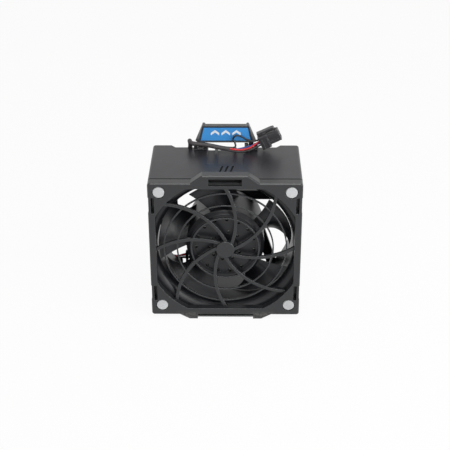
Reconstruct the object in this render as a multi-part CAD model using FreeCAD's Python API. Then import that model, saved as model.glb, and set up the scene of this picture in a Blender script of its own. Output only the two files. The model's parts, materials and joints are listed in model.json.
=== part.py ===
"""Server fan module: a 92 mm axial fan in a square carrier with a swirl finger guard, a pull handle and a lead.

All lengths are in millimetres. The pieces are built about the fan axis: X to the right, Y from the intake face
towards the outlet, Z up. Angles run from +X towards +Z. save() moves each piece so that the module stands on
Z = 0 with its depth centred on Y = 0.
"""
import FreeCAD
import Part
import math
import os

V = FreeCAD.Vector

# Module envelope
MODULE_DEPTH = 57.0            # front face to the rear ends of the side walls
FAN_HALF = 46.0                # half the fan frame's square side
FIT = 0.2                      # play between the fan frame and the sleeve
SIDE_WALL = 2.0
TOP_WALL = 1.4
BOTTOM_WALL = 2.4
CORNER_R = 1.8
FOOT_HEIGHT = 3.5

SLEEVE_HALF = FAN_HALF + FIT
HALF_WIDTH = SLEEVE_HALF + SIDE_WALL
TOP = SLEEVE_HALF + TOP_WALL
BOTTOM = -SLEEVE_HALF - BOTTOM_WALL

# Front bezel
BEZEL_PLATE = 4.5
BEZEL_DEPTH = 6.2
BEZEL_CHAMFER = 0.7
OPENING_LIP_X = 2.0            # the opening's sides inside the fan frame's
OPENING_LIP_Z = 2.25
OPENING_CORNER_OUT = 4.2
BULGE_RISE = 5.2
BULGE_BASE_X = 21.5
BULGE_TOP_X = 14.4
WINDOW_HALF_X = 10.4
WINDOW_DROP = 1.9
WINDOW_HEIGHT = 4.8
WINDOW_DEPTH = 5.0
WINDOW_LEDGE = 1.3
FOOT_IN_X = 18.2
FOOT_OUT_X = 23.5
FOOT_FLARE_X = 30.0
SILL_DROP = 2.0
SILL_GROOVE = 1.0
SILL_GROOVE_DEPTH = 2.0
SLOT_EDGE = 1.9
SLOT_W = 2.1
SLOT_LOW_Z = 26.5
SLOT_HIGH_Z = 37.5
STRIP_STEP = 0.6

# Isolator pins
PIN_PITCH = 82.5
PIN_HEAD_R = 3.7
PIN_HEAD_T = 1.2
PIN_HEAD_GAP = 0.4
PIN_SHANK_R = 2.0
PIN_HOLE_R = 2.2
PIN_BULB_R = 2.9
PIN_TAIL = 3.2

# Finger guard
GUARD_RECESS = 2.3
GUARD_SPOKE_T = 1.8
GUARD_SPOKE_W = 2.0
GUARD_RING_T = 1.1
GUARD_RING_W = 0.9
GUARD_RINGS = (21.6, 30.6, 39.1)
GUARD_DISC_R = 5.9
GUARD_DISC_PROUD = 1.4
SPOKES = 8
SPOKE_PHASE = 0.0
SPOKE_MID_R = 22.0
SPOKE_MID_TURN = 27.6
SPOKE_TIP_TURN = 50.6

# Housing sleeve
SPIGOT_STEP = 0.5
SPIGOT_LENGTH = 0.4
EAR_STEP = 3.2                 # the top wall ends ahead of the side walls
EAR_IN_X = 33.2
EAR_OUT_X = 36.0
RECESS_HALF_X = 11.5
RECESS_FRONT = 28.3
RECESS_DROP = 2.0
RECESS_WALL = 1.4
RECESS_LIP = 0.8
RECESS_RIB_X = 6.1
RECESS_RIB_W = 2.1
DASH_COUNT = 3
DASH_PITCH = 3.35
DASH_W = 1.2
DASH_FRONT = 14.4
DASH_REAR = 25.3
DASH_X = -4.5
DASH_LEAN = 2.1
DASH_DEPTH = 0.8
STOP_SIZE = 7.0
STOP_T = 2.0

# Fan frame
FAN_DEPTH = 38.0
FAN_CORNER_R = 4.0
FLANGE_T = 4.0
FLANGE_EDGE = 1.2              # flat left between the bell mouth and the flange's edge
BARREL_WALL = 1.8
BARREL_GAP = 0.6               # barrel inside the flanges' flat sides
BELL_FLARE = 4.6
OUTLET_FLARE = 3.6
BELL_DEPTH = 5.0
BASE_R = 24.5
BASE_T = 2.0
BASE_RIM_T = 1.4
STRUT_COUNT = 5
STRUT_PHASE = 0.0
STRUT_OFFSET = 19.8            # each strut's centre line passes the axis at this distance
STRUT_W = 6.5
STRUT_T = 3.0
GUIDE_POST_X = -26.4
GUIDE_POST_W = 1.8
GUIDE_POST_TOP = -22.0
GUIDE_POST_BACK = 39.4         # rear faces, just ahead of the wires
GUIDE_TAB_X = -31.6
GUIDE_TAB_W = 4.6
GUIDE_TAB_TOP = -28.6
GUIDE_TAB_BACK = 40.6
GUIDE_T = 1.4

# Impeller
BLADES = 5
HUB_R = 25.0
HUB_FRONT = 6.2
HUB_CLEARANCE = 2.0            # between the hub and the motor base
HUB_WALL = 1.6
HUB_SHOULDER = 2.4             # the bevel round the front, across and along the axis
HUB_RIM_W = 3.2                # flat rim round the recessed face
HUB_RECESS = 0.8
HUB_HOLES = 15
HUB_HOLE_R = 1.0
HUB_HOLE_PCR = 18.6
HUB_HOLE_PHASE = 15.0
HUB_INNER_HOLES = 10
HUB_INNER_HOLE_R = 1.0
HUB_INNER_PCR = 10.2
HUB_INNER_PHASE = 7.0
HUB_DISH_R = 8.4
HUB_DISH_DEPTH = 0.7
TIP_GAP = 0.7                  # between the blade tips and the barrel
BLADE_PHASE = 50.0             # leading edge at the tip
BLADE_SWEEP = 9.0              # how far the tip leads the root
BLADE_ROOT_CHORD = 46.0
BLADE_MID_CHORD = 40.5
BLADE_TIP_CHORD = 62.0
BLADE_ROOT_SETBACK = 5.8       # leading edge behind the hub's front
BLADE_TIP_SETBACK = 1.2
BLADE_ROOT_DEPTH = 22.4        # leading to trailing edge along the axis
BLADE_MID_DEPTH = 14.8
BLADE_TIP_DEPTH = 16.6
BLADE_ROOT_CAMBER = 0.26
BLADE_TIP_CAMBER = 0.18
BLADE_T = 1.7
BLADE_EDGE_T = 0.7

# Motor
YOKE_GAP = 0.05
YOKE_WALL = 0.9
YOKE_SETBACK = 0.9             # yoke inside the hub's rear edge
MAGNET_T = 2.0
MAGNET_SETBACK = 4.0           # magnet inside each end of the yoke
AIR_GAP = 0.6
SHAFT_R = 1.5
SHAFT_FIT = 0.05
BUSH_R = 3.2
BUSH_GAP = 0.5
BEARING_R = 4.0
BEARING_T = 4.0
BEARING_SPACING = 18.0
TUBE_WALL = 1.1
STATOR_SETBACK = 6.0
STATOR_BACK_R = 8.6
STATOR_POLES = 4
STATOR_TOOTH_W = 6.0
STATOR_SHOE_T = 1.6
STATOR_SHOE_ANGLE = 76.0
BOBBIN_T = 0.9
COIL_BUILD = 2.8
COIL_GAP = 0.3
BOARD_T = 1.2
BOARD_GAP = 1.0
CLIP_T = 0.5
CLIP_R = 2.6
WASHER_T = 0.4

# Pull handle
HANDLE_SETBACK = 3.8           # ahead of the top wall's rear edge
HANDLE_T = 3.4
HANDLE_RISE = 5.25
HANDLE_HEIGHT = 11.75
HANDLE_BOTTOM_X = 18.05
HANDLE_TOP_X = 15.3
HANDLE_FLARE = 2.0
HANDLE_KNOB_R = 1.0
TAG_MARGIN = 0.95
TAG_T = 0.25
TAG_RECESS = 0.3
HINGE_RISE = 2.5
HINGE_PIN_R = 0.8
HINGE_FIT = 0.07
LEG_R = 1.65
LEG_W = 3.2
LEG_OUT_X = 18.2
EAR_T = 2.4
EAR_GAP = 0.3
EAR_BASE_T = 0.4

# Lead
SLEEVE_R = 1.5
WIRE_R = 0.6
WIRE_PITCH = 1.3               # across the row behind the hub
WIRE_FAN = 1.75                 # across the row over the outlet
BUNDLE = 1.26                  # across the pairs in the sleeve
CLIP_WALL = 0.9
LEAD_CLIP_LENGTH = 3.0

# Connector
PLUG_TILT = 25.7
PLUG_REAR_L = 6.2
PLUG_NOSE_L = 7.8
PLUG_H = 9.4
PLUG_W = 7.6
PLUG_NOSE_INSET = 0.7
PLUG_PITCH = 2.8
PLUG_CAVITY_R = 1.0
LATCH_W = 3.6
LATCH_T = 1.2
LATCH_L = 10.5
LATCH_GAP = 0.9

# Values that follow from the ones above
FEET_BOTTOM = BOTTOM - FOOT_HEIGHT
SILL_BOTTOM = BOTTOM - SILL_DROP
OPENING_HALF_X = FAN_HALF - OPENING_LIP_X
OPENING_HALF_Z = FAN_HALF - OPENING_LIP_Z
OPENING_CORNER_R = FAN_HALF + OPENING_CORNER_OUT
BULGE_TOP = TOP + BULGE_RISE
WINDOW_BOTTOM = TOP - WINDOW_DROP
WINDOW_TOP = WINDOW_BOTTOM + WINDOW_HEIGHT
SLOT_OUT_X = HALF_WIDTH - SLOT_EDGE
SLOT_IN_X = SLOT_OUT_X - SLOT_W
REAR_EDGE = MODULE_DEPTH - EAR_STEP
RECESS_REAR = REAR_EDGE - RECESS_LIP
HANDLE_FRONT = REAR_EDGE - HANDLE_SETBACK
HANDLE_BOTTOM = TOP + HANDLE_RISE
HANDLE_TOP = HANDLE_BOTTOM + HANDLE_HEIGHT
HINGE_Z = TOP + HINGE_RISE
PIN_X = PIN_PITCH / 2
FAN_FRONT = BEZEL_PLATE
FAN_REAR = FAN_FRONT + FAN_DEPTH
BARREL_R = FAN_HALF - BARREL_GAP
BORE_R = BARREL_R - BARREL_WALL
BELL_R = BORE_R + BELL_FLARE
OUTLET_R = BORE_R + OUTLET_FLARE
BELL_FLAT = FAN_HALF - FLANGE_EDGE
BLADE_TIP_R = BORE_R - TIP_GAP
HUB_FACE = HUB_FRONT + HUB_RECESS
BASE_FRONT = FAN_REAR - STRUT_T
HUB_REAR = BASE_FRONT - HUB_CLEARANCE
YOKE_R = HUB_R - HUB_WALL - YOKE_GAP
YOKE_FRONT = HUB_FACE + HUB_WALL
YOKE_LENGTH = HUB_REAR - YOKE_SETBACK - YOKE_FRONT
MAGNET_LENGTH = YOKE_LENGTH - 2 * MAGNET_SETBACK
STATOR_T = YOKE_LENGTH - 2 * STATOR_SETBACK
MAGNET_R = YOKE_R - YOKE_WALL
MAGNET_IN = MAGNET_R - MAGNET_T
STATOR_R = MAGNET_IN - AIR_GAP
MOTOR_MID = YOKE_FRONT + YOKE_LENGTH / 2 + 0.4
TUBE_R = BEARING_R + TUBE_WALL
FRONT_BEARING = MOTOR_MID - BEARING_SPACING / 2 - BEARING_T / 2
REAR_BEARING = FRONT_BEARING + BEARING_SPACING
TUBE_FRONT = FRONT_BEARING - 0.6
HINGE_Y = HANDLE_FRONT + HANDLE_T / 2
AXIS_HEIGHT = -FEET_BOTTOM


def from_edge(x, y, z):
    """A point given from the middle of the top wall's rear edge."""
    return V(x, REAR_EDGE + y, TOP + z)


# Routes of the lead
SLEEVE_SPLIT = from_edge(-29.3, -0.4, -3.25)
HELD_ROUTE = (V(-SLEEVE_HALF + 4.2, FAN_REAR + 4.9, -25.6), V(-SLEEVE_HALF + 1.7, FAN_REAR + 7.3, -19.5),
              V(-SLEEVE_HALF + 1.7, FAN_REAR + 6.9, -2.0), V(-SLEEVE_HALF + 1.7, FAN_REAR + 7.1, 18.0),
              V(-SLEEVE_HALF + 2.2, FAN_REAR + 6.9, 34.0), from_edge(-40.6, -4.3, -3.25),
              SLEEVE_SPLIT)
SLEEVE_ROUTE = (SLEEVE_SPLIT, from_edge(-23.5, 1.6, -3.25), from_edge(-23.5, 1.7, 2.8),
                from_edge(-23.5, -4.8, 5.3), from_edge(-16.4, -6.2, 5.1), from_edge(-9.6, -6.4, 4.1),
                from_edge(-3.2, -6.6, 2.6), from_edge(3.0, -6.9, 1.75))
MOTOR_WIRE_ROUTE = (V(-12.4, FAN_REAR - 3.75, -12.9), V(-17.4, FAN_REAR - 3.7, -19.6),
                    V(-22.2, FAN_REAR - 2.5, -26.5), V(-33.6, FAN_REAR + 0.5, -29.8),
                    V(-39.8, FAN_REAR + 2.9, -30.0), V(-42.2, FAN_REAR + 5.1, -25.05))
RED_ROUTE = (from_edge(-3.4, -7.3, 3.25), from_edge(3.2, -7.5, 2.35), from_edge(9.2, -7.5, 1.5),
             from_edge(14.4, -7.3, 2.3), from_edge(18.4, -6.6, 4.5), from_edge(21.9, -6.3, 7.3),
             from_edge(25.0, -6.3, 8.8))
BLACK_ROUTE = (from_edge(-3.4, -7.3, 2.05), from_edge(3.2, -7.9, 1.1), from_edge(9.0, -8.9, 0.75),
               from_edge(14.4, -8.7, 1.3), from_edge(19.0, -7.5, 3.0), from_edge(23.1, -6.3, 4.8),
               from_edge(26.2, -6.3, 6.3))
LOOP_ROUTE = (from_edge(-3.4, -6.1, 3.25), from_edge(2.8, -6.2, 2.55), from_edge(6.7, -5.7, 2.6),
              from_edge(6.0, -5.3, 6.0), from_edge(4.3, -5.0, 8.4), from_edge(6.5, -5.3, 11.1),
              from_edge(9.8, -5.4, 10.6), from_edge(13.2, -5.3, 8.2), from_edge(16.5, -5.1, 6.7),
              from_edge(19.3, -4.5, 6.6), from_edge(21.9, -3.5, 7.3), from_edge(25.0, -3.5, 8.8))
BLUE_ROUTE = (from_edge(-3.4, -6.1, 2.05), from_edge(3.3, -6.35, 1.15), from_edge(8.8, -6.0, 1.6),
              from_edge(14.0, -5.5, 2.8), from_edge(18.6, -4.95, 4.1), from_edge(23.1, -3.5, 4.8),
              from_edge(26.2, -3.5, 6.3))
PLUG_FACE = from_edge(22.5, -4.9, 6.05)


def box(x0, x1, y0, y1, z0, z1):
    return Part.makeBox(x1 - x0, y1 - y0, z1 - z0, V(x0, y0, z0))


def rod(radius, y0, y1, x=0.0, z=0.0):
    """A cylinder along Y."""
    return Part.makeCylinder(radius, y1 - y0, V(x, y0, z), V(0, 1, 0))


def ring(outer, inner, y0, y1):
    return rod(outer, y0, y1).cut(rod(inner, y0, y1))


def turned(profile):
    """Revolves a closed profile of (radius, y) corners about the fan axis."""
    corners = [V(r, y, 0) for r, y in profile]
    face = Part.Face(Part.makePolygon(corners + corners[:1]))
    return face.revolve(V(0, 0, 0), V(0, 1, 0), 360)


def plate(outline, y0, y1):
    """Extrudes a closed outline of (x, z) corners along Y."""
    corners = [V(x, y0, z) for x, z in outline]
    return Part.Face(Part.makePolygon(corners + corners[:1])).extrude(V(0, y1 - y0, 0))


def rounded_box(x0, x1, y0, y1, z0, z1, radius):
    """A box whose four edges along Y are rounded."""
    body = box(x0, x1, y0, y1, z0, z1)
    edges = [e for e in body.Edges if abs(abs(e.tangentAt(e.FirstParameter).y) - 1) < 1e-6]
    return body.makeFillet(radius, edges)


def spun(shape, degrees):
    """Turns a shape about the fan axis, from +X towards +Z."""
    return shape.rotated(V(0, 0, 0), V(0, -1, 0), degrees)


def pattern(shape, count, phase=0.0):
    return [spun(shape, phase + 360.0 * i / count) for i in range(count)]


def joined(*shapes):
    body = shapes[0].fuse(list(shapes[1:])) if len(shapes) > 1 else shapes[0]
    return body.removeSplitter()


def polar(radius, degrees, y=0.0):
    a = math.radians(degrees)
    return V(radius * math.cos(a), y, radius * math.sin(a))


def tube(route, radius):
    """A round tube along straight runs joined by tangent arcs; also returns its smallest bend radius."""
    edges = []
    start = route[0]
    smallest = math.inf
    for before, corner, after in zip(route, route[1:], route[2:]):
        back = (before - corner)
        ahead = (after - corner)
        turn = math.pi - back.getAngle(ahead)
        setback = 0.45 * min(back.Length, ahead.Length)
        bend = setback / math.tan(turn / 2)
        smallest = min(smallest, bend)
        back.normalize()
        ahead.normalize()
        first = corner + back * setback
        last = corner + ahead * setback
        inward = (back + ahead)
        inward.normalize()
        middle = corner + inward * (bend / math.cos(turn / 2) - bend)
        edges.append(Part.LineSegment(start, first).toShape())
        edges.append(Part.Arc(first, middle, last).toShape())
        start = last
    edges.append(Part.LineSegment(start, route[-1]).toShape())
    path = Part.Wire(edges)
    heading = route[1] - route[0]
    section = Part.Wire([Part.makeCircle(radius, route[0], heading)])
    solid = path.makePipeShell([section], True, False)
    expected = math.pi * radius ** 2 * path.Length
    print("  length %.1f, smallest bend %.2f, volume ratio %.3f" % (path.Length, smallest, solid.Volume / expected))
    return solid


def opening_cutter(y0, y1):
    flat = box(-OPENING_HALF_X, OPENING_HALF_X, y0, y1, -OPENING_HALF_Z, OPENING_HALF_Z)
    return flat.common(rod(OPENING_CORNER_R, y0, y1))


def pin_positions():
    return [(sx * PIN_X, sz * PIN_X) for sx in (-1, 1) for sz in (-1, 1)]


def front_bezel():
    outline = [(-HALF_WIDTH, BOTTOM), (-FOOT_FLARE_X, BOTTOM), (-FOOT_OUT_X, FEET_BOTTOM),
               (-FOOT_IN_X, FEET_BOTTOM), (-FOOT_IN_X, SILL_BOTTOM), (FOOT_IN_X, SILL_BOTTOM),
               (FOOT_IN_X, FEET_BOTTOM), (FOOT_OUT_X, FEET_BOTTOM), (FOOT_FLARE_X, BOTTOM),
               (HALF_WIDTH, BOTTOM), (HALF_WIDTH, TOP), (BULGE_BASE_X, TOP), (BULGE_TOP_X, BULGE_TOP),
               (-BULGE_TOP_X, BULGE_TOP), (-BULGE_BASE_X, TOP), (-HALF_WIDTH, TOP)]
    body = plate(outline, 0.0, BEZEL_DEPTH)
    corners = [e for e in body.Edges if abs(abs(e.Vertexes[0].X) - HALF_WIDTH) < 1e-6
               and abs(e.Vertexes[0].Y - e.Vertexes[-1].Y) > 1]
    body = body.makeFillet(CORNER_R, corners)
    body = body.makeChamfer(BEZEL_CHAMFER, [e for e in body.Edges if e.BoundBox.YMax < 1e-6])
    body = body.cut(opening_cutter(0.0, BEZEL_PLATE))
    body = body.cut(box(-SLEEVE_HALF, SLEEVE_HALF, BEZEL_PLATE, BEZEL_DEPTH, -SLEEVE_HALF, SLEEVE_HALF))
    for x, z in pin_positions():
        body = body.cut(rod(PIN_HEAD_R + PIN_HEAD_GAP, 0.0, PIN_HEAD_T + 0.1, x, z))
        body = body.cut(rod(PIN_HOLE_R, 0.0, BEZEL_PLATE, x, z))
    window = box(-WINDOW_HALF_X, WINDOW_HALF_X, 0.0, WINDOW_DEPTH, WINDOW_BOTTOM, WINDOW_TOP)
    ledge = box(-WINDOW_HALF_X, WINDOW_HALF_X, WINDOW_DEPTH / 2, WINDOW_DEPTH,
                WINDOW_BOTTOM, WINDOW_BOTTOM + WINDOW_LEDGE)
    body = body.cut(window.cut(ledge))
    body = body.cut(box(-FOOT_IN_X, FOOT_IN_X, 0.0, SILL_GROOVE_DEPTH, BOTTOM - SILL_GROOVE / 2,
                        BOTTOM + SILL_GROOVE / 2))
    for side in (-1, 1):
        for low, high in ((SLOT_LOW_Z, SLOT_HIGH_Z), (-SLOT_HIGH_Z, -SLOT_LOW_Z)):
            xs = sorted((side * SLOT_IN_X, side * SLOT_OUT_X))
            body = body.cut(box(xs[0], xs[1], 0.0, BEZEL_PLATE, low, high))
            xs = sorted((side * (HALF_WIDTH - STRIP_STEP), side * (HALF_WIDTH + 1)))
            body = body.cut(box(xs[0], xs[1], 0.0, BEZEL_PLATE, low, high))
    return body


def guard_spoke():
    """One curved spoke: a strip between two concentric arcs, long enough to be trimmed by the opening."""
    middle = polar(SPOKE_MID_R, SPOKE_MID_TURN, GUARD_RECESS)
    tip = polar(OPENING_CORNER_R, SPOKE_TIP_TURN, GUARD_RECESS)
    root = polar(GUARD_DISC_R, 0.0, GUARD_RECESS)
    arc = Part.Arc(root, middle, tip).toShape().Curve
    centre = arc.Center
    sides = []
    for offset in (-GUARD_SPOKE_W / 2, GUARD_SPOKE_W / 2):
        points = []
        for p in (polar(GUARD_DISC_R / 2, -12.0, GUARD_RECESS), middle, tip):
            ray = p - centre
            ray.normalize()
            points.append(centre + ray * (arc.Radius + offset))
        sides.append(points)
    inner, outer = sides
    wire = Part.Wire([Part.Arc(*inner).toShape(), Part.LineSegment(inner[2], outer[2]).toShape(),
                      Part.Arc(*reversed(outer)).toShape(), Part.LineSegment(outer[0], inner[0]).toShape()])
    return Part.Face(wire).extrude(V(0, GUARD_SPOKE_T, 0))


def finger_guard():
    rear = GUARD_RECESS + GUARD_SPOKE_T
    spokes = pattern(guard_spoke(), SPOKES, SPOKE_PHASE)
    trimmed = joined(*spokes).common(opening_cutter(0.0, BEZEL_PLATE))
    rings = [ring(r + GUARD_RING_W / 2, r - GUARD_RING_W / 2, rear - GUARD_RING_T, rear) for r in GUARD_RINGS]
    front = GUARD_RECESS - GUARD_DISC_PROUD
    disc = rod(GUARD_DISC_R, front, rear)
    disc = disc.makeChamfer(0.3, [e for e in disc.Edges if e.BoundBox.YMax < front + 1e-6])
    return joined(trimmed, disc, *rings)


def isolator_pins():
    rear = FAN_FRONT + FLANGE_T
    head_rear = PIN_HEAD_T + 0.1
    pin = turned([(0, 0.1), (PIN_HEAD_R - 0.3, 0.1), (PIN_HEAD_R, 0.4), (PIN_HEAD_R, head_rear),
                  (PIN_SHANK_R, head_rear), (PIN_SHANK_R, rear), (PIN_BULB_R, rear),
                  (PIN_BULB_R, rear + 0.8), (PIN_SHANK_R * 0.6, rear + PIN_TAIL), (0, rear + PIN_TAIL)])
    return Part.makeCompound([pin.translated(V(x, 0, z)) for x, z in pin_positions()])


def housing():
    outer = rounded_box(-HALF_WIDTH, HALF_WIDTH, BEZEL_DEPTH, MODULE_DEPTH, BOTTOM, TOP, CORNER_R)
    spigot = rounded_box(-HALF_WIDTH + SPIGOT_STEP, HALF_WIDTH - SPIGOT_STEP, BEZEL_DEPTH,
                         BEZEL_DEPTH + SPIGOT_LENGTH, BOTTOM + SPIGOT_STEP, TOP - SPIGOT_STEP, CORNER_R)
    groove = box(-HALF_WIDTH - 1, HALF_WIDTH + 1, BEZEL_DEPTH, BEZEL_DEPTH + SPIGOT_LENGTH, BOTTOM - 1, TOP + 1)
    body = outer.cut(groove.cut(spigot))
    body = body.cut(box(-SLEEVE_HALF, SLEEVE_HALF, BEZEL_DEPTH, MODULE_DEPTH, -SLEEVE_HALF, SLEEVE_HALF))
    step = MODULE_DEPTH - REAR_EDGE
    notch = [(-EAR_OUT_X, MODULE_DEPTH), (-EAR_IN_X, REAR_EDGE), (EAR_IN_X, REAR_EDGE), (EAR_OUT_X, MODULE_DEPTH)]
    corners = [V(x, y, BOTTOM) for x, y in notch]
    body = body.cut(Part.Face(Part.makePolygon(corners + corners[:1])).extrude(V(0, 0, TOP - BOTTOM)))
    floor = TOP - RECESS_DROP
    tray_x = RECESS_HALF_X + RECESS_WALL
    tray_front = FAN_REAR + FIT
    tray = box(-tray_x, tray_x, tray_front, REAR_EDGE, floor - RECESS_WALL, TOP)
    body = joined(body, tray)
    body = body.cut(box(-RECESS_HALF_X, RECESS_HALF_X, RECESS_FRONT, REAR_EDGE, floor, TOP))
    body = body.cut(box(-RECESS_HALF_X, RECESS_HALF_X, RECESS_FRONT, tray_front, SLEEVE_HALF - 1, TOP))
    body = body.cut(box(-RECESS_HALF_X, RECESS_HALF_X, RECESS_REAR, REAR_EDGE, floor - RECESS_WALL, TOP))
    ribs = []
    for side in (-1, 1):
        x0 = side * RECESS_RIB_X - RECESS_RIB_W / 2
        ribs.append(box(x0, x0 + RECESS_RIB_W, RECESS_FRONT, REAR_EDGE, SLEEVE_HALF, TOP))
        ribs.append(box(x0, x0 + RECESS_RIB_W, tray_front, REAR_EDGE, floor, TOP))
        x1 = side * (FOOT_IN_X + FOOT_OUT_X) / 2
        half = (FOOT_OUT_X - FOOT_IN_X) / 2
        ribs.append(box(x1 - half, x1 + half, BEZEL_DEPTH, REAR_EDGE, FEET_BOTTOM, BOTTOM + SPIGOT_STEP))
        for low in (-SLEEVE_HALF, SLEEVE_HALF - STOP_SIZE):
            xs = sorted((side * SLEEVE_HALF, side * (SLEEVE_HALF - STOP_SIZE)))
            ribs.append(box(xs[0], xs[1], FAN_REAR, FAN_REAR + STOP_T, low, low + STOP_SIZE))
    body = joined(body, *ribs, *hinge_ears())
    for i in range(DASH_COUNT):
        x = DASH_X + i * DASH_PITCH
        lean = DASH_LEAN
        corners = [V(x, DASH_FRONT, TOP - DASH_DEPTH), V(x + DASH_W, DASH_FRONT, TOP - DASH_DEPTH),
                   V(x + DASH_W + lean, DASH_REAR, TOP - DASH_DEPTH), V(x + lean, DASH_REAR, TOP - DASH_DEPTH)]
        body = body.cut(Part.Face(Part.makePolygon(corners + corners[:1])).extrude(V(0, 0, DASH_DEPTH)))
    return body


def hinge_ears():
    """The two clevises that carry the pull handle, each a low base with an ear on either side of the leg."""
    pieces = []
    leg_in = LEG_OUT_X - LEG_W
    for side in (-1, 1):
        spans = ((leg_in - EAR_GAP - EAR_T, leg_in - EAR_GAP), (LEG_OUT_X + EAR_GAP, LEG_OUT_X + EAR_GAP + EAR_T))
        xs = sorted((side * spans[0][0], side * spans[1][1]))
        pieces.append(box(xs[0], xs[1], HANDLE_FRONT, REAR_EDGE, TOP - 1.0, TOP + EAR_BASE_T))
        for span in spans:
            xs = sorted((side * span[0], side * span[1]))
            ear = joined(box(xs[0], xs[1], HINGE_Y - LEG_R, HINGE_Y + LEG_R, TOP - 1.0, HINGE_Z),
                         Part.makeCylinder(LEG_R, EAR_T, V(xs[0], HINGE_Y, HINGE_Z), V(1, 0, 0)))
            pieces.append(ear.cut(Part.makeCylinder(HINGE_PIN_R, EAR_T, V(xs[0], HINGE_Y, HINGE_Z), V(1, 0, 0))))
    return pieces


def hinge_pins():
    pins = []
    length = LEG_W + 2 * EAR_GAP + 2 * EAR_T
    for side in (-1, 1):
        outer = side * (LEG_OUT_X + EAR_GAP + EAR_T)
        pins.append(Part.makeCylinder(HINGE_PIN_R, length, V(outer, HINGE_Y, HINGE_Z), V(-side, 0, 0)))
    return Part.makeCompound(pins)


def eased(first, middle, last, f):
    """A value that runs smoothly through three given ones as f goes from 0 to 1."""
    return first + (last - first) * f - 4 * f * (1 - f) * ((first + last) / 2 - middle)


def blade_surface(side):
    """One face of a blade, through points on rising radii from the leading to the trailing edge."""
    root_r = HUB_R - HUB_WALL / 2
    stations = 5
    steps = 8
    rows = []
    for i in range(stations):
        f = i / (stations - 1)
        r = root_r + (BLADE_TIP_R - root_r) * f
        lead = BLADE_PHASE - BLADE_SWEEP * (1 - f)
        chord = eased(BLADE_ROOT_CHORD, BLADE_MID_CHORD, BLADE_TIP_CHORD, f)
        depth = eased(BLADE_ROOT_DEPTH, BLADE_MID_DEPTH, BLADE_TIP_DEPTH, f)
        front = HUB_FRONT + BLADE_ROOT_SETBACK + (BLADE_TIP_SETBACK - BLADE_ROOT_SETBACK) * f
        camber = BLADE_ROOT_CAMBER + (BLADE_TIP_CAMBER - BLADE_ROOT_CAMBER) * f
        row = []
        for j in range(steps + 1):
            t = j / steps
            y = front + depth * (t - camber * math.sin(math.pi * t))
            along = math.radians(chord) * r
            slope = depth * (1 - camber * math.pi * math.cos(math.pi * t))
            length = math.hypot(along, slope)
            half = BLADE_EDGE_T / 2 + (BLADE_T - BLADE_EDGE_T) / 2 * math.sin(math.pi * t)
            turn = math.degrees(side * half * slope / length / r)
            row.append(polar(r, lead - chord * t + turn, y + side * half * along / length))
        rows.append(row)
    surface = Part.BSplineSurface()
    surface.interpolate(rows)
    return surface


def blade():
    lower, upper = blade_surface(-1), blade_surface(1)
    u0, u1, v0, v1 = lower.bounds()
    faces = [lower.toShape(), upper.toShape()]
    for u in (u0, u1):
        faces.append(Part.makeRuledSurface(lower.uIso(u).toShape(), upper.uIso(u).toShape()))
    for v in (v0, v1):
        faces.append(Part.makeRuledSurface(lower.vIso(v).toShape(), upper.vIso(v).toShape()))
    shell = Part.Shell(faces)
    shell.sewShape()
    solid = Part.Solid(shell)
    solid.fix(1e-4, 1e-4, 1e-3)
    if solid.Volume < 0:
        solid.reverse()
    return solid


def impeller():
    bore = HUB_R - HUB_WALL
    rim_out = HUB_R - HUB_SHOULDER
    rim_in = rim_out - HUB_RIM_W
    dish = HUB_FACE + HUB_DISH_DEPTH
    hub = turned([(0, dish), (HUB_DISH_R - HUB_DISH_DEPTH, dish), (HUB_DISH_R, HUB_FACE), (rim_in, HUB_FACE),
                  (rim_in, HUB_FRONT), (rim_out, HUB_FRONT), (HUB_R, HUB_FRONT + HUB_SHOULDER), (HUB_R, HUB_REAR),
                  (bore, HUB_REAR), (bore, YOKE_FRONT), (0, YOKE_FRONT)])
    hole = rod(HUB_HOLE_R, HUB_FRONT, YOKE_FRONT, HUB_HOLE_PCR)
    inner_hole = rod(HUB_INNER_HOLE_R, HUB_FRONT, YOKE_FRONT, HUB_INNER_PCR)
    holes = pattern(hole, HUB_HOLES, HUB_HOLE_PHASE) + pattern(inner_hole, HUB_INNER_HOLES, HUB_INNER_PHASE)
    return joined(hub, *pattern(blade(), BLADES)).cut(holes)


def rotor_yoke():
    rear = YOKE_FRONT + YOKE_LENGTH
    return turned([(BUSH_R, YOKE_FRONT), (YOKE_R, YOKE_FRONT), (YOKE_R, rear), (MAGNET_R, rear),
                   (MAGNET_R, YOKE_FRONT + YOKE_WALL), (BUSH_R, YOKE_FRONT + YOKE_WALL)])


def magnet_ring():
    return ring(MAGNET_R, MAGNET_IN, MOTOR_MID - MAGNET_LENGTH / 2, MOTOR_MID + MAGNET_LENGTH / 2)


def shaft_bush():
    return ring(BUSH_R, SHAFT_R, YOKE_FRONT, FRONT_BEARING - BUSH_GAP)


def shaft():
    end = REAR_BEARING + BEARING_T + WASHER_T + CLIP_T + 0.8
    groove = REAR_BEARING + BEARING_T + WASHER_T
    return turned([(0, YOKE_FRONT), (SHAFT_R, YOKE_FRONT), (SHAFT_R, groove), (SHAFT_R - 0.4, groove),
                   (SHAFT_R - 0.4, groove + CLIP_T), (SHAFT_R, groove + CLIP_T), (SHAFT_R, end - 0.3),
                   (SHAFT_R - 0.3, end), (0, end)])


def retaining_clip():
    start = REAR_BEARING + BEARING_T + WASHER_T
    clip = ring(CLIP_R, SHAFT_R - 0.4, start, start + CLIP_T)
    return clip.cut(box(-SHAFT_R * 0.7, SHAFT_R * 0.7, start, start + CLIP_T, 0, CLIP_R))


def bearing(start):
    race = SHAFT_R + SHAFT_FIT
    end = start + BEARING_T
    inner = race + 0.8
    outer = BEARING_R - 0.8
    shield = 0.3
    return turned([(race, start), (inner, start), (inner, start + shield), (outer, start + shield),
                   (outer, start), (BEARING_R, start), (BEARING_R, end), (outer, end),
                   (outer, end - shield), (inner, end - shield), (inner, end), (race, end)])


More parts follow.
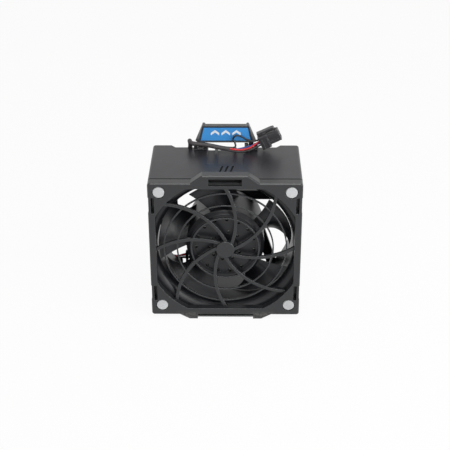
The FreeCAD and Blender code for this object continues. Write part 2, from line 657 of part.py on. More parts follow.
def bearing_tube():
    rear = BASE_FRONT + BASE_T
    step = FRONT_BEARING + BEARING_T
    waist = BEARING_R - 0.6
    return turned([(BEARING_R, TUBE_FRONT), (TUBE_R, TUBE_FRONT), (TUBE_R, rear), (BEARING_R, rear),
                   (BEARING_R, REAR_BEARING), (waist, REAR_BEARING), (waist, step), (BEARING_R, step)])


def preload_washer():
    start = REAR_BEARING + BEARING_T
    return ring(BEARING_R - 0.9, SHAFT_R + 0.4, start, start + WASHER_T - 0.1)


def tooth():
    front = MOTOR_MID - STATOR_T / 2
    rear = MOTOR_MID + STATOR_T / 2
    arm = box(STATOR_BACK_R - 1, STATOR_R - STATOR_SHOE_T / 2, front, rear, -STATOR_TOOTH_W / 2, STATOR_TOOTH_W / 2)
    shoe = ring(STATOR_R, STATOR_R - STATOR_SHOE_T, front, rear)
    reach = STATOR_R * math.tan(math.radians(STATOR_SHOE_ANGLE / 2))
    corners = [(0, 0), (STATOR_R, -reach), (STATOR_R * 2, -reach * 2), (STATOR_R * 2, reach * 2), (STATOR_R, reach)]
    return arm, shoe.common(plate(corners, front, rear))


def stator_core():
    front = MOTOR_MID - STATOR_T / 2
    rear = MOTOR_MID + STATOR_T / 2
    arm, shoe = tooth()
    pieces = pattern(arm, STATOR_POLES, 45.0) + pattern(shoe, STATOR_POLES, 45.0)
    core = joined(rod(STATOR_BACK_R, front, rear), *pieces)
    return core.cut(rod(TUBE_R, front, rear))


def coil_extent():
    inner = STATOR_BACK_R + 0.4
    outer = STATOR_R - STATOR_SHOE_T - 0.5
    return inner, outer


def bobbin():
    """The plastic insulator: a collar on each end face of the core and a sleeve round each tooth."""
    front = MOTOR_MID - STATOR_T / 2
    rear = MOTOR_MID + STATOR_T / 2
    inner, outer = coil_extent()
    half = STATOR_TOOTH_W / 2
    wrap = box(inner, outer, front - BOBBIN_T, rear + BOBBIN_T, -half - BOBBIN_T, half + BOBBIN_T)
    wrap = wrap.cut(box(inner, outer, front, rear, -half, half))
    collars = [ring(STATOR_BACK_R + 0.6, TUBE_R, front - BOBBIN_T, front),
               ring(STATOR_BACK_R + 0.6, TUBE_R, rear, rear + BOBBIN_T)]
    return joined(*collars, *pattern(wrap, STATOR_POLES, 45.0))


def coil_windings():
    front = MOTOR_MID - STATOR_T / 2 - BOBBIN_T
    rear = MOTOR_MID + STATOR_T / 2 + BOBBIN_T
    inner, outer = coil_extent()
    inner += 1.0
    half = STATOR_TOOTH_W / 2 + BOBBIN_T
    body = box(inner, outer, front - COIL_BUILD / 2, rear + COIL_BUILD / 2, -half - COIL_BUILD, half + COIL_BUILD)
    long_edges = [e for e in body.Edges if abs(abs(e.tangentAt(e.FirstParameter).x) - 1) < 1e-6]
    body = body.makeFillet(COIL_BUILD / 2 - 0.1, long_edges)
    body = body.common(rod(STATOR_R - STATOR_SHOE_T - COIL_GAP, front - COIL_BUILD, rear + COIL_BUILD))
    body = body.cut(box(inner, outer, front, rear, -half, half))
    return Part.makeCompound(pattern(body, STATOR_POLES, 45.0))


def board_plane():
    return MOTOR_MID + STATOR_T / 2 + BOBBIN_T + COIL_BUILD / 2 + BOARD_GAP


def circuit_board():
    front = board_plane()
    radius = MAGNET_IN - 0.6
    board = ring(radius, TUBE_R, front, front + BOARD_T)
    return board.cut(box(radius - 2.0, radius, front, front + BOARD_T, -3.0, 3.0))


def board_chips():
    rear = board_plane() + BOARD_T
    radius = (MAGNET_IN - 0.6 + TUBE_R) / 2
    chip = box(radius - 2.0, radius + 2.0, rear, rear + 1.0, -2.5, 2.5)
    part = box(radius + 1.0, radius + 3.0, rear, rear + 0.8, -0.8, 0.8)
    return Part.makeCompound([spun(chip, 90.0), spun(part, 40.0), spun(part, 55.0), spun(part, 140.0)])


def hall_sensor():
    front = board_plane()
    return spun(box(MAGNET_IN - 4.4, MAGNET_IN - 1.2, front - 0.9, front, -1.8, 1.8), 90.0)


def frame_bore():
    """The air path through the fan frame: bell mouth, straight bore and flared outlet."""
    front = FAN_FRONT
    rear = FAN_REAR
    arc = Part.Arc(V(BELL_R, front, 0), V(BORE_R + BELL_FLARE * 0.36, front + BELL_DEPTH * 0.36, 0),
                   V(BORE_R, front + BELL_DEPTH, 0)).toShape()
    legs = Part.makePolygon([V(BORE_R, front + BELL_DEPTH, 0), V(BORE_R, rear - FLANGE_T, 0), V(OUTLET_R, rear, 0),
                             V(0, rear, 0), V(0, front, 0), V(BELL_R, front, 0)])
    path = Part.Face(Part.Wire([arc] + legs.Edges)).revolve(V(0, 0, 0), V(0, 1, 0), 360)
    return path.common(box(-BELL_FLAT, BELL_FLAT, front, rear, -BELL_FLAT, BELL_FLAT))


def fan_frame():
    rear = FAN_REAR
    size = FAN_HALF
    front_flange = rounded_box(-size, size, FAN_FRONT, FAN_FRONT + FLANGE_T, -size, size, FAN_CORNER_R)
    rear_flange = rounded_box(-size, size, rear - FLANGE_T, rear, -size, size, FAN_CORNER_R)
    body = joined(front_flange, rear_flange, rod(BARREL_R, FAN_FRONT, rear)).cut(frame_bore())
    return body.cut([rod(PIN_HOLE_R, FAN_FRONT, rear, x, z) for x, z in pin_positions()])


def motor_base():
    rear = FAN_REAR
    web = BASE_FRONT + BASE_T
    return turned([(TUBE_R, BASE_FRONT), (BASE_R, BASE_FRONT), (BASE_R, rear), (BASE_R - BASE_RIM_T, rear),
                   (BASE_R - BASE_RIM_T, web), (TUBE_R, web)])


def frame_struts():
    """Flat bars from the motor base's rim out to the bore, all leaning the same way off the radius."""
    half = STRUT_W / 2
    bar = box(0, FAN_HALF, BASE_FRONT, FAN_REAR, STRUT_OFFSET - half, STRUT_OFFSET + half)
    bar = bar.cut(rod(BASE_R, BASE_FRONT, FAN_REAR))
    bars = pattern(bar, STRUT_COUNT, STRUT_PHASE)
    return Part.makeCompound([piece.common(frame_bore()) for piece in bars])


def wire_guides():
    """A post and a round-ended tab standing on the bore ahead of the motor wires; they keep them off the blades."""
    guides = []
    for x, width, top, back in ((GUIDE_POST_X, GUIDE_POST_W, GUIDE_POST_TOP, GUIDE_POST_BACK),
                                (GUIDE_TAB_X, GUIDE_TAB_W, GUIDE_TAB_TOP, GUIDE_TAB_BACK)):
        half = width / 2
        bar = box(x - half, x + half, back - GUIDE_T, back, -FAN_HALF, top - half)
        bar = joined(bar, rod(half, back - GUIDE_T, back, x, top - half))
        guides.append(bar.common(frame_bore()))
    return Part.makeCompound(guides)


def handle_outline(bottom_x, top_x, y):
    corners = [V(-bottom_x, y, HANDLE_BOTTOM), V(bottom_x, y, HANDLE_BOTTOM),
               V(top_x, y, HANDLE_TOP), V(-top_x, y, HANDLE_TOP)]
    return Part.makePolygon(corners + corners[:1])


def tag_outline(y, margin):
    """The tag follows the handle's slanted sides at an even margin."""
    slope = (HANDLE_BOTTOM_X - HANDLE_TOP_X) / (HANDLE_TOP - HANDLE_BOTTOM)
    low = HANDLE_BOTTOM + margin
    high = HANDLE_TOP - margin
    bottom_x = HANDLE_BOTTOM_X - margin - slope * margin
    top_x = HANDLE_TOP_X - margin + slope * margin
    corners = [V(-bottom_x, y, low), V(bottom_x, y, low), V(top_x, y, high), V(-top_x, y, high)]
    return Part.makePolygon(corners + corners[:1])


def pull_handle():
    rear = HANDLE_FRONT + HANDLE_T
    body = Part.makeLoft([handle_outline(HANDLE_BOTTOM_X, HANDLE_TOP_X, HANDLE_FRONT),
                          handle_outline(HANDLE_BOTTOM_X + HANDLE_FLARE, HANDLE_TOP_X, rear)], True)
    pieces = []
    for side in (-1, 1):
        pieces.append(rod(HANDLE_KNOB_R, HANDLE_FRONT + 0.3, rear, side * (HANDLE_TOP_X - HANDLE_KNOB_R), HANDLE_TOP))
        xs = sorted((side * LEG_OUT_X, side * (LEG_OUT_X - LEG_W)))
        leg = joined(box(xs[0], xs[1], HINGE_Y - LEG_R, HINGE_Y + LEG_R, HINGE_Z, HANDLE_BOTTOM + 1.0),
                     Part.makeCylinder(LEG_R, LEG_W, V(xs[0], HINGE_Y, HINGE_Z), V(1, 0, 0)))
        pieces.append(leg)
    body = joined(body, *pieces)
    for side in (-1, 1):
        x0 = min(side * LEG_OUT_X, side * (LEG_OUT_X - LEG_W))
        body = body.cut(Part.makeCylinder(HINGE_PIN_R + HINGE_FIT, LEG_W, V(x0, HINGE_Y, HINGE_Z), V(1, 0, 0)))
    pocket = Part.Face(tag_outline(HANDLE_FRONT, TAG_MARGIN)).extrude(V(0, TAG_RECESS, 0))
    return body.cut(pocket)


def handle_tag():
    face = Part.Face(tag_outline(HANDLE_FRONT + TAG_RECESS - TAG_T, TAG_MARGIN + 0.1))
    return face.extrude(V(0, TAG_T, 0))


def along(route, index, fraction):
    return route[index] + (route[index + 1] - route[index]) * fraction


def lead_clips():
    """Open hooks moulded on the sleeve's left wall that hold the lead against it."""
    clips = []
    outer = SLEEVE_R + CLIP_WALL
    for index in (2, 3):
        centre = along(HELD_ROUTE, index, 0.5)
        heading = HELD_ROUTE[index + 1] - HELD_ROUTE[index]
        heading.normalize()
        start = centre - heading * (LEAD_CLIP_LENGTH / 2)
        hook = Part.makeCylinder(outer, LEAD_CLIP_LENGTH, start, heading)
        wall = box(-SLEEVE_HALF, centre.x, centre.y - outer, centre.y + outer,
                   start.z, start.z + heading.z * LEAD_CLIP_LENGTH)
        hook = hook.common(box(-SLEEVE_HALF, 0, 0, MODULE_DEPTH, -SLEEVE_HALF, SLEEVE_HALF))
        hook = joined(hook, wall)
        far = LEAD_CLIP_LENGTH * 3
        hook = hook.cut(Part.makeCylinder(SLEEVE_R, far, centre - heading * (far / 2), heading))
        mouth = box(centre.x, centre.x + 2 * outer, centre.y, centre.y + outer * 2, centre.z - far, centre.z + far)
        clips.append(hook.cut(mouth))
    return Part.makeCompound(clips)


def exit_clip():
    """The hook under the top wall's rear edge where the free lead starts."""
    heading = SLEEVE_ROUTE[1] - SLEEVE_ROUTE[0]
    heading.normalize()
    length = LEAD_CLIP_LENGTH
    start = SLEEVE_SPLIT - heading * length
    outer = SLEEVE_R + CLIP_WALL
    body = Part.makeCylinder(outer, length, start, heading)
    post = box(start.x, SLEEVE_SPLIT.x, start.y - 0.6, SLEEVE_SPLIT.y, SLEEVE_SPLIT.z, SLEEVE_HALF)
    body = joined(body.common(box(-HALF_WIDTH, 0, 0, MODULE_DEPTH, 0, SLEEVE_HALF)), post)
    body = body.cut(Part.makeCylinder(SLEEVE_R, length * 3, start - heading * length, heading))
    slit = Part.makeBox(length * 3, 1.6, outer * 2, V(0, 0, 0))
    slit.translate(V(-length, -0.8, -outer * 2))
    slit.rotate(V(0, 0, 0), V(0, 0, 1), math.degrees(math.atan2(heading.y, heading.x)))
    slit.translate(start)
    return body.cut(slit)


def motor_wire(rank, layer):
    """One of the four motor wires: side by side behind the hub, staggered, then two by two into the sleeve."""
    pair = BUNDLE / 2
    row = pair if rank > 0 else -pair
    spreads = [(rank * WIRE_PITCH, 0), (rank * WIRE_PITCH, 0), (rank * WIRE_FAN, 0),
               (rank * BUNDLE * 0.53, layer * pair), (row, layer * pair), (row, layer * pair)]
    runs = [(b - a).normalize() for a, b in zip(MOTOR_WIRE_ROUTE, MOTOR_WIRE_ROUTE[1:])]
    across = runs[0].cross(V(0, 1, 0)).normalize()
    points = []
    for point, (side, back), before, after in zip(MOTOR_WIRE_ROUTE, spreads, runs[:1] + runs, runs + runs[-1:]):
        mitre = before + after
        moved = across * side + across.cross(before) * back
        points.append(point + moved - before * (moved.dot(mitre) / before.dot(mitre)))
        across = across - before * (across.dot(mitre) / before.dot(mitre))
        across = across - after * across.dot(after)
    return tube(points, WIRE_R)


def plug_frame(shape):
    """Moves a piece from the plug's own frame (X out of the nose, Z up) to where the plug lies."""
    placed = shape.rotated(V(0, 0, 0), V(0, -1, 0), PLUG_TILT)
    return placed.translated(PLUG_FACE)


def plug_cavities(x0, x1, radius):
    return [Part.makeCylinder(radius, x1 - x0, V(x0, sy * PLUG_PITCH / 2, sz * PLUG_PITCH / 2), V(1, 0, 0))
            for sy in (-1, 1) for sz in (-1, 1)]


def plug_shell():
    half_h = PLUG_H / 2
    half_w = PLUG_W / 2
    rear = box(0, PLUG_REAR_L, -half_w, half_w, -half_h, half_h)
    inset = PLUG_NOSE_INSET
    nose = box(PLUG_REAR_L, PLUG_REAR_L + PLUG_NOSE_L, -half_w + inset, half_w - inset, -half_h + 2 * inset,
               half_h - inset)
    body = joined(rear, nose)
    body = body.makeChamfer(0.4, [e for e in body.Edges if abs(abs(e.tangentAt(e.FirstParameter).x) - 1) < 1e-6])
    for cavity in plug_cavities(0, PLUG_REAR_L, PLUG_CAVITY_R):
        body = body.cut(cavity)
    end = PLUG_REAR_L + PLUG_NOSE_L
    for cavity in plug_cavities(end - 5.0, end, PLUG_CAVITY_R):
        body = body.cut(cavity)
    return plug_frame(body)


def plug_latch():
    base = PLUG_H / 2
    top = base + LATCH_GAP + LATCH_T
    half = LATCH_W / 2
    outline = [(1.0, base), (3.6, base), (3.6, base + LATCH_GAP), (LATCH_L, base + LATCH_GAP), (LATCH_L + 1.2, base),
               (LATCH_L + 1.8, base), (LATCH_L + 1.8, top - 0.4), (LATCH_L, top), (0.4, top), (0.4, top - LATCH_T)]
    corners = [V(x, -half, z) for x, z in outline]
    return plug_frame(Part.Face(Part.makePolygon(corners + corners[:1])).extrude(V(0, LATCH_W, 0)))


def plug_terminals():
    end = PLUG_REAR_L + PLUG_NOSE_L
    sleeves = []
    for cavity in plug_cavities(end - 5.0, end - 1.0, PLUG_CAVITY_R * 0.8):
        sleeves.append(plug_frame(cavity))
    return Part.makeCompound(sleeves)


def save(name, shape):
    placed = shape.translated(V(0, -MODULE_DEPTH / 2, AXIS_HEIGHT))
    if not placed.isValid() or placed.Volume <= 0:
        print("  CHECK", name, placed.isValid(), placed.Volume)
    placed.exportStep(os.path.join("parts", name + ".step"))
    print("%-16s %2d solid(s) %9.1f mm3" % (name, len(placed.Solids), placed.Volume))


def main():
    os.makedirs("parts", exist_ok=True)
    save("front_bezel", front_bezel())
    save("finger_guard", finger_guard())
    save("isolator_pins", isolator_pins())
    save("housing", housing())
    save("hinge_pins", hinge_pins())
    save("fan_frame", fan_frame())
    save("motor_base", motor_base())
    save("frame_struts", frame_struts())
    save("wire_guides", wire_guides())
    save("bearing_tube", bearing_tube())
    save("front_bearing", bearing(FRONT_BEARING))
    save("rear_bearing", bearing(REAR_BEARING))
    save("preload_washer", preload_washer())
    save("stator_core", stator_core())
    save("bobbin", bobbin())
    save("coil_windings", coil_windings())
    save("circuit_board", circuit_board())
    save("board_chips", board_chips())
    save("hall_sensor", hall_sensor())
    save("impeller", impeller())
    save("rotor_yoke", rotor_yoke())
    save("magnet_ring", magnet_ring())
    save("shaft_bush", shaft_bush())
    save("shaft", shaft())
    save("retaining_clip", retaining_clip())
    save("pull_handle", pull_handle())
    save("handle_tag", handle_tag())
    save("lead_clips", lead_clips())
    save("exit_clip", exit_clip())
    save("motor_wire_red", motor_wire(-1.5, -1))
    save("motor_wire_blue", motor_wire(-0.5, 1))
    save("motor_wire_black", motor_wire(0.5, -1))
    save("motor_wire_tach", motor_wire(1.5, 1))
    save("held_sleeve", tube(HELD_ROUTE, SLEEVE_R))
    save("cable_sleeve", tube(SLEEVE_ROUTE, SLEEVE_R))
    save("wire_red", tube(RED_ROUTE, WIRE_R))
    save("wire_black", tube(BLACK_ROUTE, WIRE_R))
    save("wire_loop", tube(LOOP_ROUTE, WIRE_R))
    save("wire_blue", tube(BLUE_ROUTE, WIRE_R))
    save("plug_shell", plug_shell())
    save("plug_latch", plug_latch())
    save("plug_terminals", plug_terminals())


main()
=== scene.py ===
"""Looks of the server fan module: camera, materials, lead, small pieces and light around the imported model.

The model stands on Z = 0 in metres. Unless a comment says otherwise, places and sizes are written in
millimetres about the fan axis, as the part is drawn (X right, Y from the intake face towards the outlet,
Z up), and at() turns them into the row's frame.
"""

import json
import math

import bmesh
import bpy
from mathutils import Matrix, Vector


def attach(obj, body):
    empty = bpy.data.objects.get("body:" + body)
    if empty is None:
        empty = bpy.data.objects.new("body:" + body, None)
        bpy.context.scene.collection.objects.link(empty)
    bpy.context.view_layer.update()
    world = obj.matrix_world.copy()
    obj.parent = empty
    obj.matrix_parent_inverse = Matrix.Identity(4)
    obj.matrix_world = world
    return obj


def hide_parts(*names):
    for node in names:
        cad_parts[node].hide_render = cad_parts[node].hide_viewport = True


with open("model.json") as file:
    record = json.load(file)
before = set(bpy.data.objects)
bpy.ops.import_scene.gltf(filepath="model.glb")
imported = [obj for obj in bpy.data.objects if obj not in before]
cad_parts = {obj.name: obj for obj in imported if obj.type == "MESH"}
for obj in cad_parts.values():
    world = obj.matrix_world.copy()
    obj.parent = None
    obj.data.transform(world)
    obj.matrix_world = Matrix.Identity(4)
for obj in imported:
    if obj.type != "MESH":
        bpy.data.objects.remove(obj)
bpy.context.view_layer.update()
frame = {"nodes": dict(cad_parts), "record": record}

MODULE_DEPTH = 57.0
AXIS_HEIGHT = 52.1

# Camera turned in degrees, its distance in metres and its lens in millimetres for a 36 mm frame.
CAMERA_PITCH = 28.70
CAMERA_YAW = -0.69
CAMERA_ROLL = -0.19
CAMERA_AIM = (-0.09, 0.0, 18.71)
CAMERA_DISTANCE = 0.6634
CAMERA_LENS = 84.54

# How far a mask reaches past the edges that it covers, and how soft its border is.
MASK_LAP = 0.1
MASK_SOFT = 0.12
# Whole periods added before a folding node, so that it never folds about zero.
FAR_PERIODS = 100.0

# Joint behind the bezel and the slanted grooves on the housing, where shade is painted.
HOUSING_TOP = 47.6
GROOVE_FLOOR = 1.2
GROOVE_ABOVE = 0.5
BEZEL_REAR = 6.2
JOINT_LAP = 1.0
JOINT_W = 1.2
JOINT_SOFT = 0.1
DASH_FRONT = 14.4
DASH_REAR = 25.3
DASH_PITCH = 3.35
DASH_W = 1.2
DASH_RIM = 0.06
DASH_X = -4.5
DASH_LEAN = 2.1
DASH_END = 1.0
DASH_SOFT = 0.08

# The window in the bezel's bulge and the ledge inside it, where shade is painted inside the window.
WINDOW_HALF_X = 10.4
WINDOW_BOTTOM = 45.7
WINDOW_TOP = 50.5
WINDOW_FRONT = 0.35
WINDOW_REAR = 6.0
LEDGE_TOP = 47.0
LEDGE_FRONT = 2.5

# Rings of holes in the hub's face, painted dark as shade: how many, the ring's radius, and the first hole's
# angle in degrees.
HOLE_RINGS = ((15, 18.6, 15.0), (10, 10.2, 7.0))
HOLE_R = 1.06
HOLE_SOFT = 0.08

# Rubbed patches on the bezel's sill, on both sides.
SCUFF_IN_X = 17.0
SCUFF_OUT_X = 31.0
SCUFF_SOFT_X = 2.5
SCUFF_LOW = -60.0
SCUFF_HIGH = -46.6
SCUFF_SOFT_Z = 1.2

# The tag narrows upwards, by TAG_TAPER on each side from a half width counted at the axis' height.
TAG_HALF_W_AT_AXIS = 29.32
TAG_TAPER = 0.2332
TAG_LOW = 53.9
TAG_HIGH = 63.55
TAG_RIM_OUT = 0.22
TAG_RIM_IN = 0.42
CHEVRON_PITCH = 7.0
CHEVRON_HALF_W = 2.75
CHEVRON_STROKE = 1.75
CHEVRON_TOP = 60.8
CHEVRON_SLOPE = 0.75
CHEVRON_SOFT = 0.06

# Strip of painted light in the top recess, from its low corner to its high corner.
LINER_LOW = (-14.0, 27.6, 46.03)
LINER_HIGH = (14.0, 52.4, 46.17)

# The plug's tilt in degrees and its face. Its rails are boxes about that face, on both sides of its middle:
# X along the plug, Y across it, Z through it.
PLUG_TILT = 25.7
PLUG_FACE = (22.5, 48.9, 53.65)
RAIL_BEVEL = 0.12
PLUG_RAILS = ((6.1, 13.6, 2.9, 3.6, 1.2, 3.7),
              (6.1, 12.4, 2.9, 3.6, -3.1, -0.9),
              (12.7, 13.6, 2.9, 3.45, -2.9, -1.3),
              (6.1, 12.8, 1.5, 2.6, 3.9, 4.45),
              (0.35, 5.9, 3.7, 4.1, 3.3, 4.3),
              (1.2, 2.3, 3.7, 4.1, -4.2, 2.7),
              (4.7, 5.6, 3.7, 4.1, -4.2, 2.7))

SLEEVE_R = 1.5
WIRE_R = 0.6
SLEEVE_SPLIT = (-29.3, 53.4, 44.35)
SLEEVE_ROUTE = (SLEEVE_SPLIT, (-23.9, 55.4, 44.35), (-23.3, 55.3, 49.6), (-23.9, 53.0, 53.4),
                (-22.9, 47.6, 53.1), (-16.4, 47.6, 52.7), (-9.6, 47.4, 51.7), (-3.2, 47.2, 50.2),
                (3.0, 46.9, 49.35))
RED_ROUTE = ((-3.4, 46.5, 50.85), (3.2, 46.3, 49.95), (9.2, 46.3, 49.1), (14.4, 46.5, 49.9),
             (18.4, 47.2, 52.1), (21.9, 47.5, 54.9), (25.0, 47.5, 56.4))
BLACK_ROUTE = ((-3.4, 46.5, 49.65), (3.2, 45.9, 48.7), (9.0, 44.9, 48.35), (14.4, 45.1, 48.9),
               (19.0, 46.3, 50.6), (23.1, 47.5, 52.4), (26.2, 47.5, 53.9))
LOOP_ROUTE = ((-3.4, 47.7, 50.85), (2.8, 47.6, 50.15), (6.7, 48.1, 50.2), (6.0, 48.5, 53.6),
              (4.3, 48.8, 56.0), (6.5, 48.5, 58.7), (9.8, 48.4, 58.2), (13.2, 48.5, 55.8), (16.5, 48.7, 54.3),
              (19.3, 49.3, 54.2), (21.9, 50.3, 54.9), (25.0, 50.3, 56.4))
BLUE_ROUTE = ((-3.4, 47.7, 49.65), (3.3, 47.45, 48.75), (8.8, 47.8, 49.2), (14.0, 48.3, 50.4),
              (18.6, 48.85, 51.7), (23.1, 50.3, 52.4), (26.2, 50.3, 53.9))

# The floor's half side in metres, and how bright floor and world are.
FLOOR_HALF = 3.0
FLOOR_GLOW = 0.93
WORLD_LIGHT = 0.34
# Name, place, where it points, width and height in metres, watts.
SOFTBOXES = (("key", (-90, -700, 330), (0, 0, 0), (0.34, 0.40), 0.8),
             ("side", (640, -430, 190), (-30, 10, 5), (0.90, 0.50), 4.6),
             ("top", (120, -330, 900), (0, 0, 0), (0.62, 0.40), 3.7))


def at(x, y, z):
    return Vector((x, y - MODULE_DEPTH / 2, z + AXIS_HEIGHT)) / 1000


def rgb(red, green, blue):
    """A colour written as it looks on a screen, 0 to 255."""
    def linear(level):
        level /= 255
        return level / 12.92 if level <= 0.04045 else ((level + 0.055) / 1.055) ** 2.4
    return (linear(red), linear(green), linear(blue), 1.0)


def darker(colour, share):
    return tuple(share * c for c in colour[:3]) + (1.0,)


def add_object(name, data):
    added = bpy.data.objects.new(name, data)
    bpy.context.scene.collection.objects.link(added)
    return added


def mesh_object(name, form, material):
    """An object from a finished bmesh, which is freed."""
    mesh = bpy.data.meshes.new(name)
    form.to_mesh(mesh)
    form.free()
    mesh.materials.append(material)
    return add_object(name, mesh)


WHITE = (1.0, 1.0, 1.0, 1.0)


# ---------------------------------------------------------------- camera

def make_camera():
    pitch, yaw, roll = math.radians(CAMERA_PITCH), math.radians(CAMERA_YAW), math.radians(CAMERA_ROLL)
    ahead = Vector((math.sin(yaw) * math.cos(pitch), math.cos(yaw) * math.cos(pitch), -math.sin(pitch)))
    right = ahead.cross(Vector((0, 0, 1))).normalized()
    up = right.cross(ahead)
    across = right * math.cos(roll) + up * math.sin(roll)
    upright = up * math.cos(roll) - right * math.sin(roll)
    turn = Matrix((across, upright, -ahead)).transposed()
    data = bpy.data.cameras.new("camera")
    data.sensor_width = 36.0
    data.lens = CAMERA_LENS
    data.clip_start = 0.01
    camera = add_object("camera", data)
    camera.matrix_world = Matrix.Translation(at(*CAMERA_AIM) - ahead * CAMERA_DISTANCE) @ turn.to_4x4()
    bpy.context.scene.camera = camera


make_camera()


# ---------------------------------------------------------------- materials

MATERIALS = {}


class Nodes:
    """A new material's node tree, with short calls to add and link nodes. MATERIALS keeps it by name."""

    def __init__(self, name):
        self.material = bpy.data.materials.new(name)
        self.material.use_nodes = True
        self.tree = self.material.node_tree
        self.shader = self.tree.nodes["Principled BSDF"]
        self.place = self.add("ShaderNodeTexCoord").outputs["Object"]
        MATERIALS[name] = self.material

    def add(self, kind, **settings):
        node = self.tree.nodes.new(kind)
        for key, value in settings.items():
            setattr(node, key, value)
        return node

    def link(self, source, target):
        self.tree.links.new(source, target)

    def feed(self, node, *pairs):
        """Gives a node's sockets, by name or number, a value or a link."""
        for name, value in pairs:
            if isinstance(value, bpy.types.NodeSocket):
                self.link(value, node.inputs[name])
            else:
                node.inputs[name].default_value = value

    def set(self, **values):
        self.feed(self.shader, *((key.replace("_", " "), value) for key, value in values.items()))

    def noise(self, scale, detail=3.0, roughness=0.55, distortion=0.0, place=None):
        node = self.add("ShaderNodeTexNoise")
        self.feed(node, ("Vector", place or self.place), ("Scale", scale), ("Detail", detail),
                  ("Roughness", roughness), ("Distortion", distortion))
        return node.outputs["Fac"]

    def spread(self, value, low, high, to_low=0.0, to_high=1.0):
        node = self.add("ShaderNodeMapRange")
        self.feed(node, ("Value", value), ("From Min", low), ("From Max", high), ("To Min", to_low),
                  ("To Max", to_high))
        return node.outputs["Result"]

    def math(self, operation, first, second=0.0):
        node = self.add("ShaderNodeMath", operation=operation)
        self.feed(node, (0, first), (1, second))
        return node.outputs[0]

    def mix(self, amount, first, second):
        node = self.add("ShaderNodeMix", data_type="RGBA")
        self.feed(node, (0, amount), (6, first), (7, second))
        return node.outputs[2]

    def bump(self, height, distance, strength=1.0, under=None):
        node = self.add("ShaderNodeBump")
        self.feed(node, ("Height", height), ("Strength", strength), ("Distance", distance))
        if under is not None:
            self.link(under, node.inputs["Normal"])
        return node.outputs["Normal"]

    def soft_edges(self, radius):
        node = self.add("ShaderNodeBevel", samples=6)
        node.inputs["Radius"].default_value = radius
        return node.outputs["Normal"]

    def edge_wear_and_sheen(self, radius, low=0.04, high=0.30):
        """1 along edges and corners, 0 on flat faces."""
        bevel = self.soft_edges(radius)
        plain = self.add("ShaderNodeNewGeometry").outputs["Normal"]
        dot = self.add("ShaderNodeVectorMath", operation="DOT_PRODUCT")
        self.feed(dot, (0, bevel), (1, plain))
        return self.spread(self.math("SUBTRACT", 1.0, dot.outputs["Value"]), low, high)

    def axes(self):
        """X, Y and Z of the place in metres, in the row's frame."""
        apart = self.add("ShaderNodeSeparateXYZ")
        self.link(self.place, apart.inputs[0])
        return [apart.outputs[axis] for axis in "XYZ"]

    def drawn_place(self):
        """X, Y and Z in millimetres about the fan axis, as the part is drawn."""
        shifts = (0.0, MODULE_DEPTH / 2, -AXIS_HEIGHT)
        return [self.math("ADD", self.math("MULTIPLY", value, 1000.0), shift)
                for value, shift in zip(self.axes(), shifts)]

    def hypot(self, first, second):
        squares = [self.math("POWER", value, 2.0) for value in (first, second)]
        return self.math("SQRT", self.math("ADD", *squares))

    def below(self, value, high, soft=MASK_SOFT):
        """1 where the value lies below high, 0 above it, with a soft border."""
        return self.spread(self.math("SUBTRACT", high, value), -soft, soft)

    def within(self, value, low, high, soft=MASK_SOFT):
        """1 where the value lies between low and high, 0 elsewhere, with a soft border."""
        nearest = self.math("MINIMUM", self.math("SUBTRACT", value, low), self.math("SUBTRACT", high, value))
        return self.spread(nearest, -soft, soft)

    def every(self, *masks):
        whole = masks[0]
        for mask in masks[1:]:
            whole = self.math("MULTIPLY", whole, mask)
        return whole


def moulded(name, colour, dust_wear_and_sheen, rough, grain=0.00002, edge=0.00035, dusty=0.35, ior=1.5, shaded=None,
            scuffed=None):
    """Moulded plastic or rubber: eroded grain, flow marks in the gloss, paler edges that are partly rubbed
    wear and partly painted edge highlight, some dust.

    shaded(m) masks deep places, where shade is painted: they turn dark and dull. scuffed(m) masks rubbed
    places, which turn pale.
    """
    m = Nodes(name)
    cloud = m.noise(35.0, 4.0, 0.6)
    fine = m.noise(2600.0, 2.0, 0.6)
    edges = m.math("MULTIPLY", m.edge_wear_and_sheen(edge), m.spread(m.noise(160.0, 3.0), 0.35, 0.7, 0.35, 1.0))
    dust = m.spread(m.noise(900.0, 6.0, 0.75), 0.60, 0.74, 0.0, dusty)
    base = m.mix(m.spread(cloud, 0.3, 0.7), colour, darker(colour, 0.82))
    base = m.mix(edges, m.mix(dust, base, dust_wear_and_sheen), dust_wear_and_sheen)
    gloss = m.spread(cloud, 0.25, 0.75, rough - 0.05, rough + 0.07)
    if scuffed is not None:
        base = m.mix(scuffed(m), base, rgb(104, 101, 95))
    if shaded is not None:
        # Painted shade: the masked places turn near black and dull, standing in for shade that the mesh does
        # not cast.
        painted_shade = shaded(m)
        base = m.mix(painted_shade, base, rgb(6, 6, 7))
        gloss = m.math("MAXIMUM", gloss, painted_shade)
    m.set(Base_Color=base, Roughness=gloss, IOR=ior,
          Normal=m.bump(fine, grain, 0.7, m.soft_edges(edge)))


def metal(name, colour, rough):
    """Turned or ground metal, with fine lines round the fan axis."""
    m = Nodes(name)
    x, y, z = m.axes()
    turning = m.add("ShaderNodeCombineXYZ")
    m.feed(turning, (0, m.hypot(x, m.math("SUBTRACT", z, AXIS_HEIGHT / 1000))), (1, y))
    fine = m.noise(9000.0, 2.0, place=turning.outputs[0])
    cloud = m.noise(220.0, 4.0)
    m.set(Base_Color=m.mix(m.spread(cloud, 0.35, 0.7), colour, darker(colour, 0.7)), Metallic=1.0,
          Roughness=m.spread(fine, 0.3, 0.7, rough - 0.06, rough + 0.1),
          Normal=m.bump(fine, 0.000008, 0.5))


def insulation(name, colour, dark, rough=0.32):
    """Extruded wire insulation: smooth, slightly wavy, with handling marks."""
    m = Nodes(name)
    wavy = m.noise(420.0, 2.0)
    marks = m.noise(1500.0, 4.0, 0.7)
    m.set(Base_Color=m.mix(m.spread(marks, 0.4, 0.75), colour, dark), IOR=1.48,
          Roughness=m.spread(marks, 0.3, 0.7, rough - 0.06, rough + 0.12),
          Normal=m.bump(wavy, 0.00006, 0.5, m.bump(marks, 0.00001, 0.6)))


